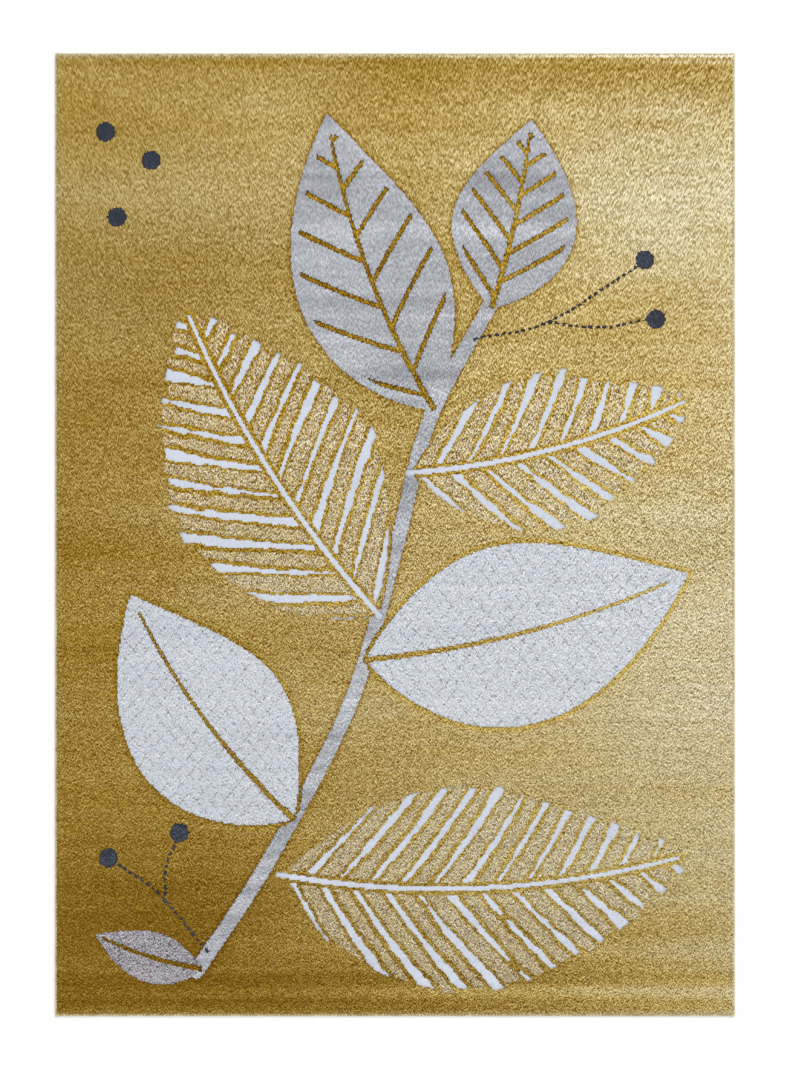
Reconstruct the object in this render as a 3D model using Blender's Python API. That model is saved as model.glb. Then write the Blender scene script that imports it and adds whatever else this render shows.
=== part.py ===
"""A rectangular machine-woven pile rug that lies flat.

The rug is one piece of carpet: a woven backing that carries a cut pile. Past the pile, the backing
reaches out on all four sides as a thin selvedge. Yarn is worked over that selvedge to stop it fraying:
an edging along each long side, and a narrower one across each end, between the side edgings.

Metres, +Z up, +X across the rug, +Y along it. The origin is the middle of the underside.
"""

import math

import bmesh
import bpy

# Driving dimensions
RUG_WIDTH = 1.200
RUG_LENGTH = 1.700
RUG_HEIGHT = 0.012             # underside of the backing to the tips of the pile
SIDE_EDGING_WIDTH = 0.008
END_EDGING_WIDTH = 0.006
SELVEDGE_THICKNESS = 0.002     # the bare backing inside the edging
YARN_THICKNESS = 0.0012        # the edging's wall, over, under and around the selvedge
GAP = 0.0003                   # between pieces that touch

# Roundings
PILE_SHOULDER = 0.0035         # how far the pile falls away at its rim
PILE_CORNER_RADIUS = 0.004
SELVEDGE_CORNER_RADIUS = 0.0012
EDGING_ROUNDING = 0.0017
ARC_STEPS = 5

# Worked out from the above
SELVEDGE_BOTTOM = YARN_THICKNESS + GAP
SELVEDGE_TOP = SELVEDGE_BOTTOM + SELVEDGE_THICKNESS
EDGING_HEIGHT = SELVEDGE_TOP + GAP + YARN_THICKNESS
PILE_HALF_WIDTH = RUG_WIDTH / 2 - SIDE_EDGING_WIDTH - GAP
PILE_HALF_LENGTH = RUG_LENGTH / 2 - END_EDGING_WIDTH - GAP
SELVEDGE_HALF_WIDTH = RUG_WIDTH / 2 - YARN_THICKNESS - GAP
SELVEDGE_HALF_LENGTH = RUG_LENGTH / 2 - YARN_THICKNESS - GAP

# Colours as red, green and blue from 0 to 255
GOLD_PILE = (181, 148, 72)
PALE_GOLD_YARN = (204, 189, 147)


def clear_scene():
    for old in list(bpy.data.objects):
        bpy.data.objects.remove(old, do_unlink=True)


def linear(channel):
    """One colour channel, 0 to 255, as Blender's linear value."""
    value = channel / 255
    return value / 12.92 if value <= 0.04045 else ((value + 0.055) / 1.055) ** 2.4


def material(name, colour, roughness):
    made = bpy.data.materials.new(name)
    made.use_nodes = True
    shader = made.node_tree.nodes["Principled BSDF"]
    shader.inputs["Base Color"].default_value = [linear(c) for c in colour] + [1.0]
    shader.inputs["Roughness"].default_value = roughness
    shader.inputs["Metallic"].default_value = 0.0
    return made


def new_object(name, mesh_builder, finish):
    mesh = bpy.data.meshes.new(name)
    mesh_builder.normal_update()
    mesh_builder.to_mesh(mesh)
    mesh_builder.free()
    made = bpy.data.objects.new(name, mesh)
    bpy.context.scene.collection.objects.link(made)
    if finish:
        mesh.materials.append(finish)
    return made


def shade_smooth(thing):
    thing.data.shade_smooth()
    thing.data.set_sharp_from_angle(angle=math.radians(50))


def rounded_outline(half_width, half_length, radius, z):
    """The points of a rectangle with round corners, counter-clockwise seen from above."""
    corners = ((1, 1, 0), (-1, 1, 90), (-1, -1, 180), (1, -1, 270))
    points = []
    for side_x, side_y, start in corners:
        for step in range(ARC_STEPS + 1):
            angle = math.radians(start + 90 * step / ARC_STEPS)
            x = side_x * (half_width - radius) + radius * math.cos(angle)
            y = side_y * (half_length - radius) + radius * math.sin(angle)
            points.append((x, y, z))
    return points


def loft(outlines):
    """A closed solid through outlines that are stacked from the bottom up and have equally many points."""
    built = bmesh.new()
    rings = [[built.verts.new(point) for point in outline] for outline in outlines]
    count = len(rings[0])
    for low, high in zip(rings, rings[1:]):
        for i in range(count):
            j = (i + 1) % count
            built.faces.new((low[i], low[j], high[j], high[i]))
    built.faces.new(list(reversed(rings[0])))
    built.faces.new(rings[-1])
    return built


def pile_outline(z, inset=0.0):
    radius = max(PILE_CORNER_RADIUS - inset, PILE_CORNER_RADIUS / 4)
    return rounded_outline(PILE_HALF_WIDTH - inset, PILE_HALF_LENGTH - inset, radius, z)


def selvedge_outline(z):
    return rounded_outline(SELVEDGE_HALF_WIDTH, SELVEDGE_HALF_LENGTH, SELVEDGE_CORNER_RADIUS, z)


def shoulder_outlines():
    """The rim of the pile: a quarter circle from the upright side to the flat top."""
    outlines = []
    for step in range(ARC_STEPS + 1):
        angle = math.radians(90 * step / ARC_STEPS)
        z = RUG_HEIGHT - PILE_SHOULDER * (1 - math.sin(angle))
        outlines.append(pile_outline(z, PILE_SHOULDER * (1 - math.cos(angle))))
    return outlines


def pile_rug(finish):
    """Backing and pile in one, with the selvedge standing out all round near the underside."""
    outlines = [
        pile_outline(0.0),
        pile_outline(SELVEDGE_BOTTOM),
        selvedge_outline(SELVEDGE_BOTTOM),
        selvedge_outline(SELVEDGE_TOP),
        pile_outline(SELVEDGE_TOP),
        *shoulder_outlines(),
    ]
    made = new_object("pile_rug", loft(outlines), finish)
    shade_smooth(made)
    return made


def selvedge_space():
    """The room that the edgings leave for the selvedge: its outline and thickness, a gap larger all round."""
    size = (
        2 * (SELVEDGE_HALF_WIDTH + GAP),
        2 * (SELVEDGE_HALF_LENGTH + GAP),
        SELVEDGE_THICKNESS + 2 * GAP,
    )
    made = new_object("selvedge_space", box(size), None)
    made.location.z = (SELVEDGE_BOTTOM + SELVEDGE_TOP) / 2
    made.hide_render = True
    made.display_type = "WIRE"
    return made


def box(size):
    built = bmesh.new()
    bmesh.ops.create_cube(built, size=1.0)
    bmesh.ops.scale(built, vec=size, verts=built.verts)
    return built


def outward_edges(built, length_axis):
    """The edges to round on an edging whose outer side faces its local +X or +Y.

    They are the upper edges, and the upright and lower edges on the outer side. The lower inner edge and
    the lower end edges stay sharp, so that the edging keeps a flat underside.
    """
    across = 1 - length_axis
    chosen = []
    for edge in built.edges:
        first, second = edge.verts
        upper = first.co.z > 0 and second.co.z > 0
        outer = first.co[across] > 0 and second.co[across] > 0
        if upper or outer:
            chosen.append(edge)
    return chosen


def edging(name, length, width, length_axis, side, finish, space):
    """One edging: a bar with rounded outer edges, hollowed out for the selvedge from its inner side."""
    size = [width, width, EDGING_HEIGHT]
    size[length_axis] = length
    built = box(size)
    bmesh.ops.bevel(
        built,
        geom=outward_edges(built, length_axis),
        offset=EDGING_ROUNDING,
        offset_type="OFFSET",
        segments=ARC_STEPS,
        profile=0.5,
        affect="EDGES",
        clamp_overlap=True,
    )
    made = new_object(name, built, finish)
    across = 1 - length_axis
    rug_half = (RUG_WIDTH, RUG_LENGTH)[across] / 2
    made.location[across] = side * (rug_half - width / 2)
    made.location.z = EDGING_HEIGHT / 2
    made.rotation_euler.z = 0.0 if side > 0 else math.pi
    hollow = made.modifiers.new("selvedge", "BOOLEAN")
    hollow.operation = "DIFFERENCE"
    hollow.solver = "EXACT"
    hollow.object = space
    shade_smooth(made)
    return made


def side_edgings(finish, space):
    for name, side in (("side_overlock_left", -1), ("side_overlock_right", 1)):
        edging(name, RUG_LENGTH, SIDE_EDGING_WIDTH, 1, side, finish, space)


def end_edgings(finish, space):
    length = RUG_WIDTH - 2 * (SIDE_EDGING_WIDTH + GAP)
    for name, side in (("end_overlock_foot", -1), ("end_overlock_head", 1)):
        edging(name, length, END_EDGING_WIDTH, 0, side, finish, space)


def build():
    clear_scene()
    pile_rug(material("gold_pile", GOLD_PILE, 0.9))
    yarn = material("pale_gold_yarn", PALE_GOLD_YARN, 0.75)
    space = selvedge_space()
    side_edgings(yarn, space)
    end_edgings(yarn, space)


build()
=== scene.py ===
import math

import bpy
import numpy as np
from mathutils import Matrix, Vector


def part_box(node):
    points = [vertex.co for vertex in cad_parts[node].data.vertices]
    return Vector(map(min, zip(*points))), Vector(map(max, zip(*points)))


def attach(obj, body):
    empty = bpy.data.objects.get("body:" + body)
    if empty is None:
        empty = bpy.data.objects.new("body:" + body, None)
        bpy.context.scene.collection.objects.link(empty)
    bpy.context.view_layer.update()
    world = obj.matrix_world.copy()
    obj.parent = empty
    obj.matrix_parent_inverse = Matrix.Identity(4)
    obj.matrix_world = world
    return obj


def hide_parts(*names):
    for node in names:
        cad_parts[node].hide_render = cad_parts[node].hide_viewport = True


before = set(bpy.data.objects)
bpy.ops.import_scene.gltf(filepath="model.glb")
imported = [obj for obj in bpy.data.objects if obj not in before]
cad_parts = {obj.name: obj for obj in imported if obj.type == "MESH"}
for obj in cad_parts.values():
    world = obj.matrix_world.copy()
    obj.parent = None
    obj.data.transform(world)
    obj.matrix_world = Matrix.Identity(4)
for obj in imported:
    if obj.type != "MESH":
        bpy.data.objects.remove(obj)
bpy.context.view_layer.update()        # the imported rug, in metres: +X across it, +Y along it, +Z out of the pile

gap = 0.0003             # between pieces that touch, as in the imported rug
slack = 1e-6             # for rounding errors
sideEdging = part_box("side_overlock_right")
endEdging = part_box("end_overlock_head")
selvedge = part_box("pile_rug")[1]         # the far corner of the box, which the selvedge reaches

pile = dict(
    tuft=0.0027,             # from one tuft to the next
    foot=0.0033,             # where the tufts stand, just above the backing
    sideLips=(0.0048, 0.0036),   # how far the pile leans out over the edgings at the left and at the right,
    endLips=(0.0020, 0.0040),    # and at the foot and at the head
    lipFoot=0.0055,          # underside of that overhang
    shoulder=0.0048,         # how far the pile falls away at its rim
    shoulderWidth=0.0075,
    seed=7,
    scatter=0.30,            # sideways wander of a tuft, as a share of their spacing
    unevenMost=2.2,          # limit of a tuft's unevenness, as a multiple of its spread
    pitDepth=0.0016,         # how far a tuft sinks while its pit's painted shade goes from 0 to 1
    pitMiddle=0.35,          # the painted pit shade of a tuft of mean height
)


def gridLines(half, lips):
    # Evenly spaced lines from -half to half, and one more beyond each end.
    inner = np.linspace(-half, half, round(2 * half / pile["tuft"]) + 1)
    return np.concatenate([[-half - lips[0]], inner, [half + lips[1]]])


halfWidth = sideEdging[0][0] - gap
halfLength = endEdging[0][1] - gap
lineX = gridLines(halfWidth, pile["sideLips"])
lineY = gridLines(halfLength, pile["endLips"])
cornerX, cornerY = np.meshgrid(lineX, lineY)
cornerU, cornerV = cornerX / halfWidth, cornerY / halfLength
cellX, cellY = np.meshgrid((lineX[1:] + lineX[:-1]) / 2, (lineY[1:] + lineY[:-1]) / 2)


def cornersOf(values):
    # What lies at the corners of each square of a grid: lower left, lower right, upper right, upper left.
    return values[:-1, :-1], values[:-1, 1:], values[1:, 1:], values[1:, :-1]


def aroundCorner(values):
    # The sum over the four cells round each corner.
    padded = np.pad(values, 1)
    return padded[1:, 1:] + padded[1:, :-1] + padded[:-1, 1:] + padded[:-1, :-1]


def blurred(values, across, along):
    # The values through a Gaussian of the two given widths, by way of their Fourier transform.
    waveX = np.fft.rfftfreq(values.shape[1], pile["tuft"])[None, :]
    waveY = np.fft.fftfreq(values.shape[0], pile["tuft"])[:, None]
    kept = np.exp(-2 * (math.pi * waveX * across) ** 2 - 2 * (math.pi * waveY * along) ** 2)
    return np.fft.irfft2(np.fft.rfft2(values) * kept, s=values.shape)


def softNoise(seed, across, along, like=cellX):
    # Blurred white noise, divided by its own spread.
    soft = blurred(np.random.default_rng(seed).normal(size=like.shape), across, along)
    return soft / soft.std()


def eased(share):
    # 3 s^2 - 2 s^3: from 0 to 1 with level ends.
    share = np.clip(share, 0, 1)
    return share * share * (3 - 2 * share)


# The pattern: one branch with leaves. Each tuft gets a yarn's number, and a depth where the gold is carved.

yarnNames = ("gold", "heather", "white", "cream", "grey", "charcoal", "taupe")
yarnAt = np.zeros(cellX.shape, int)
carvedAt = np.zeros(cellX.shape)
edgeWander = softNoise(1, 0.006, 0.006)

leafShape = dict(
    fullest=0.85,            # the lower, the nearer the widest place is to the base
    blunt=0.95,              # the lower, the blunter the leaf
    nearby=0.01,             # share of the length over which the margin's slope is taken
)


def weave(cells, yarn, carved=0.0):
    # Gives the cells their yarn, and how deep they are carved, from 0 to 1.
    yarnAt[cells] = yarnNames.index(yarn)
    carvedAt[cells] = np.broadcast_to(carved, cellX.shape)[cells]


def alongMidrib(leaf):
    # Distances along and across an arc that starts at the leaf's base and turns through bend degrees: radius
    # times the angle passed, and radius less the distance from the arc's centre.
    angle = math.radians(leaf["angle"])
    awayX, awayY = cellX - leaf["baseX"], cellY - leaf["baseY"]
    ahead = awayX * math.cos(angle) + awayY * math.sin(angle)
    aside = awayY * math.cos(angle) - awayX * math.sin(angle)
    radius = leaf["length"] / math.radians(leaf["bend"])
    turn = math.copysign(1, radius)
    along = radius * np.arctan2(ahead * turn, (radius - aside) * turn)
    across = radius - turn * np.hypot(ahead, aside - radius)
    return along, across


def leafHalfWidth(share, width):
    # width / 2 sin(pi s^fullest)^blunt, for the share s of the length.
    return width / 2 * np.sin(math.pi * np.clip(share, 0, 1) ** leafShape["fullest"]) ** leafShape["blunt"]


def fromMargin(leaf, along, across):
    # Distance outwards from the leaf's margin: the excess over its half width, reduced by the margin's slope,
    # and beyond its base and tip the distance from them.
    nearby = leafShape["nearby"]
    share = along / leaf["length"]
    half = leafHalfWidth(share, leaf["width"])
    slope = (leafHalfWidth(share + nearby, leaf["width"]) - half) / (nearby * leaf["length"])
    beside = (abs(across) - half) / np.sqrt(1 + slope**2)
    beyond = np.hypot(np.where(share < 0, along, along - leaf["length"]), across)
    return np.where((share < 0) | (share > 1), beyond, beside), share, half


def halfMidrib(share, lines):
    # Half the width of a midrib that gets evenly thinner from base to tip.
    return lines["midrib"] * (1 - lines["midribLoss"] * np.clip(share, 0, 1))


stripes = dict(
    spacing=0.056,           # along the midrib
    angle=52,                # between a stripe and the midrib, in degrees
    starts=(0.28, 0.78),     # the step at the base, on the midrib's left and on its right
    drawn=80,                # stripes that get their own random sizes
    narrow=(0.0022, 0.0040),     # half the width of a white stripe at its thin end, least and most
    wide=(0.0055, 0.0092),   # and at its thick end
    flipped=0.3,             # share of white stripes that are thick at the midrib
    beside=(0.0042, 0.0085),     # width of the gold between a white stripe and a heather one, least and most
    whiteEnds=(-0.010, 0.005),   # how far outside the margin a white stripe ends, least and most,
    heatherEnds=(-0.010, 0.002),     # and a heather one
    wander=0.0011,           # of the white stripes' edges
    midrib=0.0050,           # half the width of the white midrib at the base
    midribLoss=0.35,         # share of it that is lost at the tip
    midribStart=-0.010,      # from the base
    midribEnd=0.965,         # as a share of the leaf's length
    midribGap=0.011,         # where the stripes start beside it
    carved=0.8,              # how deep the gold between the stripes is, as a share of the carved lines
    carvedFade=0.020,        # and how far inside the margin it is that deep
    tip=0.016,               # there are no stripes where half the leaf is narrower than this
    thinnest=0.0001,         # least half width to divide by
)


def stripedLeaf(leaf, seed):
    # step = (along - |across| / tan angle) / spacing + start. A white stripe lies at each whole step, and a
    # heather one fills the room between two of them but for a line of gold beside each.
    along, across = alongMidrib(leaf)
    margin, share, half = fromMargin(leaf, along, across)
    slant = math.radians(stripes["angle"])
    start = np.where(across > 0, *stripes["starts"])
    step = (along - abs(across) / math.tan(slant)) / stripes["spacing"] + start
    nearest = np.round(step).astype(int)
    outward = np.clip(abs(across) / np.maximum(half, stripes["thinnest"]), 0, 1)
    draw = np.random.default_rng(seed)
    count = stripes["drawn"]
    pick = (nearest + count // 2) % count
    thin = draw.uniform(*stripes["narrow"], count)[pick]
    thick = draw.uniform(*stripes["wide"], count)[pick]
    flipped = (draw.uniform(size=count) < stripes["flipped"])[pick]
    whiteEnd = draw.uniform(*stripes["whiteEnds"], count)[pick]
    between = (np.floor(step).astype(int) + count // 2) % count
    heatherEnd = draw.uniform(*stripes["heatherEnds"], count)[between]
    beside = draw.uniform(*stripes["beside"], count)[between]
    halfWhite = thin + (thick - thin) * eased(np.where(flipped, 1 - outward, outward))
    fromWhite = abs(step - nearest) * stripes["spacing"] * math.sin(slant) - halfWhite
    fromWhite = fromWhite + stripes["wander"] * edgeWander
    clear = (abs(across) > stripes["midribGap"]) & (half > stripes["tip"])
    weave(margin < 0, "gold", stripes["carved"] * eased(-margin / stripes["carvedFade"]))
    weave((fromWhite > beside) & clear & (margin < heatherEnd), "heather")
    weave((fromWhite < 0) & clear & (margin < whiteEnd), "white")
    onMidrib = (along > stripes["midribStart"]) & (share < stripes["midribEnd"])
    weave((abs(across) < halfMidrib(share, stripes)) & onMidrib, "white")


carving = dict(
    outline=0.0075,          # width of the carved gold round a cream leaf
    outlineEnds=(-0.01, 1.02),   # where it starts and ends, as shares of the leaf's length
    midrib=0.0052,           # half the width of the carved midrib at the base
    midribLoss=0.5,          # share of it that is lost at the tip
    midribEnd=0.93,          # as a share of the leaf's length
    vein=0.0042,             # half the width of a carved vein
    veinAngle=48,            # between a vein and the midrib, in degrees
    veinCount=6.5,           # veins to the leaf's length
    veinStarts=(0.15, 0.6),  # the step at the base, on the midrib's left and on its right
    veinFirst=0.2,           # the step before which there is no vein
    veinMargin=0.014,        # veins end this far inside the margin
)


def plainLeaf(leaf):
    # One yarn inside the margin and a carved gold line along its midrib. Cream leaves also have such a line
    # round them, and grey leaves have one along each vein, halfway between the whole steps of
    # (along - |across| / tan angle) / spacing + start.
    along, across = alongMidrib(leaf)
    margin, share, half = fromMargin(leaf, along, across)
    if leaf["weave"] == "cream":
        outlineStart, outlineEnd = carving["outlineEnds"]
        onOutline = (margin >= 0) & (margin < carving["outline"])
        weave(onOutline & (share > outlineStart) & (share < outlineEnd), "gold", 1.0)
    weave(margin < 0, leaf["weave"])
    onMidrib = (share > 0) & (share < carving["midribEnd"])
    weave((abs(across) < halfMidrib(share, carving)) & onMidrib, "gold", 1.0)
    if leaf["weave"] != "grey":
        return
    slant = math.radians(carving["veinAngle"])
    spacing = leaf["length"] / carving["veinCount"]
    step = (along - abs(across) / math.tan(slant)) / spacing + np.where(across > 0, *carving["veinStarts"])
    onVein = abs(step - np.floor(step) - 0.5) * spacing * math.sin(slant) < carving["vein"]
    weave(onVein & (margin < -carving["veinMargin"]) & (step > carving["veinFirst"]), "gold", 1.0)


def smoothCurve(points, count=60):
    # A Catmull-Rom curve through the points, whose first and last steps are repeated beyond its ends.
    points = np.array(points, float)
    knots = np.vstack([2 * points[0] - points[1], points, 2 * points[-1] - points[-2]])
    place = np.linspace(0, len(points) - 1, count)[:-1]
    span = np.floor(place).astype(int)
    t = (place - span)[:, None]
    before, start, end, after = (knots[span + k] for k in range(4))
    curve = 0.5 * (
        2 * start
        + (end - before) * t
        + (2 * before - 5 * start + 4 * end - after) * t**2
        + (3 * start - before - 3 * end + after) * t**3
    )
    return np.vstack([curve, points[-1]])


def nearCurve(points):
    # For each tuft its distance from the curve, and how far along the curve the nearest place is.
    curve = smoothCurve(points)
    nearest = np.full(cellX.shape, np.inf)
    reached = np.zeros(cellX.shape)
    run = 0.0
    for start, end in zip(curve, curve[1:]):
        step = end - start
        length = np.hypot(*step)
        share = np.clip(((cellX - start[0]) * step[0] + (cellY - start[1]) * step[1]) / length**2, 0, 1)
        away = np.hypot(cellX - start[0] - share * step[0], cellY - start[1] - share * step[1])
        closer = away < nearest
        nearest[closer] = away[closer]
        reached[closer] = (run + share * length)[closer]
        run += length
    return nearest, reached


branch = dict(
    stem=((-0.35, -0.77), (-0.22, -0.57), (-0.08, -0.30), (0.00, -0.03), (0.06, 0.20), (0.17, 0.41)),
    stemWidth=0.026,
    tendrils=(
        ((-0.33, -0.735), (-0.42, -0.63), (-0.49, -0.58)),
        ((-0.405, -0.648), (-0.405, -0.59), (-0.385, -0.54)),
        ((0.14, 0.345), (0.27, 0.375), (0.43, 0.475)),
        ((0.27, 0.375), (0.36, 0.365), (0.45, 0.38)),
    ),
    tendrilWidth=0.005,
    dash=0.012,              # a dash and the space after it
    dashShare=0.62,
    berries=(
        (-0.505, -0.57), (-0.38, -0.525), (0.44, 0.485), (0.46, 0.38),
        (-0.49, 0.56), (-0.43, 0.66), (-0.51, 0.71),
    ),
    berryRadius=0.017,
    firstSeed=11,
    leafColumns=("weave", "baseX", "baseY", "angle", "length", "width", "bend"),
    leaves=(
        ("striped", -0.20, -0.60, -10, 0.735, 0.37, 26),
        ("cream", -0.18, -0.50, 137, 0.49, 0.29, -22),
        ("cream", -0.05, -0.22, 5, 0.59, 0.32, 20),
        ("striped", -0.03, -0.14, 132, 0.65, 0.38, -20),
        ("striped", 0.03, 0.11, 4, 0.52, 0.28, 22),
        ("grey", 0.07, 0.22, 121, 0.56, 0.27, -22),
        ("grey", 0.17, 0.40, 72, 0.34, 0.22, 12),
        ("taupe", -0.34, -0.765, 172, 0.20, 0.09, -20),
    ),
)


def drawBranch():
    # The stem first, then tendrils, leaves and berries over it.
    distance = nearCurve(branch["stem"])[0]
    weave(distance < branch["stemWidth"] / 2, "grey")
    for tendril in branch["tendrils"]:
        distance, reached = nearCurve(tendril)
        onDash = (reached / branch["dash"]) % 1 < branch["dashShare"]
        weave((distance < branch["tendrilWidth"] / 2) & onDash, "charcoal")
    for seed, row in enumerate(branch["leaves"], branch["firstSeed"]):
        leaf = dict(zip(branch["leafColumns"], row))
        if leaf["weave"] == "striped":
            stripedLeaf(leaf, seed)
        else:
            plainLeaf(leaf)
    for x, y in branch["berries"]:
        weave(np.hypot(cellX - x, cellY - y) < branch["berryRadius"], "charcoal")


def joinCorners(yarns, rounds=40, gentleRounds=10):
    # Where two tufts of a yarn meet only at a corner, one of the two tufts between them takes their yarn: the
    # lower one in even rounds and the upper one in odd ones. After the gentle rounds both take it.
    for attempt in range(rounds):
        a, b, c, d = cornersOf(yarns)
        rising = (a == c) & (a != b) & (a != d)
        falling = (b == d) & (b != a) & (b != c) & ~rising
        if not (rising | falling).any():
            break
        for turn, (first, second) in enumerate(((b, a), (d, c))):
            if attempt >= gentleRounds or attempt % 2 == turn:
                first[rising] = a[rising]
                second[falling] = b[falling]
    return int((rising | falling).sum())


drawBranch()
leftOver = joinCorners(yarnAt)
print("pattern:", {n: round(float((yarnAt == i).mean()), 3) for i, n in enumerate(yarnNames)}, leftOver)

# The relief: how high each tuft stands, and what makes its colour vary, painted sheen and shade among it.

yarnRelief = dict(       # height of the pile, how uneven its tufts are, and how far it falls at its edges
    gold=(0.0112, 0.00034, 0.0003),
    heather=(0.0103, 0.00050, 0.0004),
    white=(0.0090, 0.00008, 0.0003),
    cream=(0.0109, 0.00036, 0.0006),
    grey=(0.0114, 0.00045, 0.0008),
    charcoal=(0.0100, 0.00030, 0.0004),
    taupe=(0.0106, 0.00055, 0.0006),
)
relief = dict(
    carvedDepth=0.0022,      # carved gold below the gold ground
    latticeDepth=0.0012,     # of the lozenge lines in the cream pile
    latticeSpacing=0.025,
    latticeSlope=0.8,        # how far such a line moves sideways while it goes 1 along the rug
    latticeLine=0.0019,      # half the width of such a line
    latticeShade=0.0024,     # and of the shade along it
    latticeBreak=0.0035,     # how far from a crossing the lines end
    lowest=0.0006,           # least thickness of the pile at its rim
)
combing = dict(          # shares over the rug: at the middle, and gained per half width or half length
    lengthwise=(0.25, 0.85),     # of the tuft before: at the middle, along
    crosswise=(-0.3, -0.2, -0.5),    # of the tuft to the left: at the middle, across, along
    crosswiseMost=0.5,
    second=0.6,              # of the tuft before that, as a share of lengthwise squared
)


def lozenges():
    # 1 - eased(d / 2 w) for the distance d from the nearest line where x + s y or x - s y is a whole number
    # of spacings, and 0 where two lines cross.
    spacing, slope = relief["latticeSpacing"], relief["latticeSlope"]
    away = []
    for side in (1, -1):
        steps = (cellX + side * slope * cellY) / spacing
        away.append(abs(steps - np.round(steps)) * spacing / math.hypot(1, slope))
    crossing = np.maximum(*away) < relief["latticeBreak"]
    return np.where(crossing, 0, 1 - eased(np.minimum(*away) / (2 * relief["latticeLine"])))


reliefTable = np.array([yarnRelief[name] for name in yarnNames])
latticeAt = np.where(yarnAt == yarnNames.index("cream"), lozenges(), 0)
carvedAt = np.where(yarnAt == yarnNames.index("gold"), carvedAt, 0)
cellHeight = reliefTable[yarnAt, 0] - relief["carvedDepth"] * carvedAt - relief["latticeDepth"] * latticeAt


def combed(noise, x, y):
    # Each tuft's noise and a share of its neighbours', lengthwise towards the head and crosswise at the lower
    # left. It is divided by the root of the sum of the shares' squares, which keeps its spread.
    u, v = x / halfWidth, y / halfLength
    middle, gain = combing["lengthwise"]
    lengthwise = np.clip(middle + gain * v, 0, 1)
    middle, acrossGain, alongGain = combing["crosswise"]
    crosswise = np.clip(middle + acrossGain * u + alongGain * v, 0, combing["crosswiseMost"])
    second = combing["second"]
    mixed = noise + lengthwise * np.roll(noise, 1, axis=0) + crosswise * np.roll(noise, 1, axis=1)
    mixed = mixed + second * lengthwise**2 * np.roll(noise, 2, axis=0)
    return mixed / np.sqrt(1 + lengthwise**2 + crosswise**2 + second**2 * lengthwise**4)


draws = np.random.default_rng(pile["seed"])
spread = pile["scatter"] * pile["tuft"]
wanderX = draws.uniform(-spread, spread, cornerX.shape)
wanderY = draws.uniform(-spread, spread, cornerX.shape)
standing = combed(draws.normal(size=cornerX.shape), cornerX, cornerY)
standing = np.clip(standing, -pile["unevenMost"], pile["unevenMost"])
cellFleck = combed(draws.normal(size=cellX.shape), cellX, cellY)

rimsAway = (cornerX - lineX[0], lineX[-1] - cornerX, cornerY - lineY[0], lineY[-1] - cornerY)
fromRim = np.min(rimsAway, axis=0)
shoulderFall = pile["shoulder"] * (1 - np.clip(fromRim / pile["shoulderWidth"], 0, 1)) ** 2
overEdging = (abs(cornerX) > halfWidth - slack) | (abs(cornerY) > halfLength - slack)
footAt = np.where(overEdging, pile["lipFoot"], pile["foot"])
rimCells = np.logical_or.reduce(cornersOf(overEdging))
atRim = aroundCorner(rimCells.astype(int)) > 0

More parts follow.
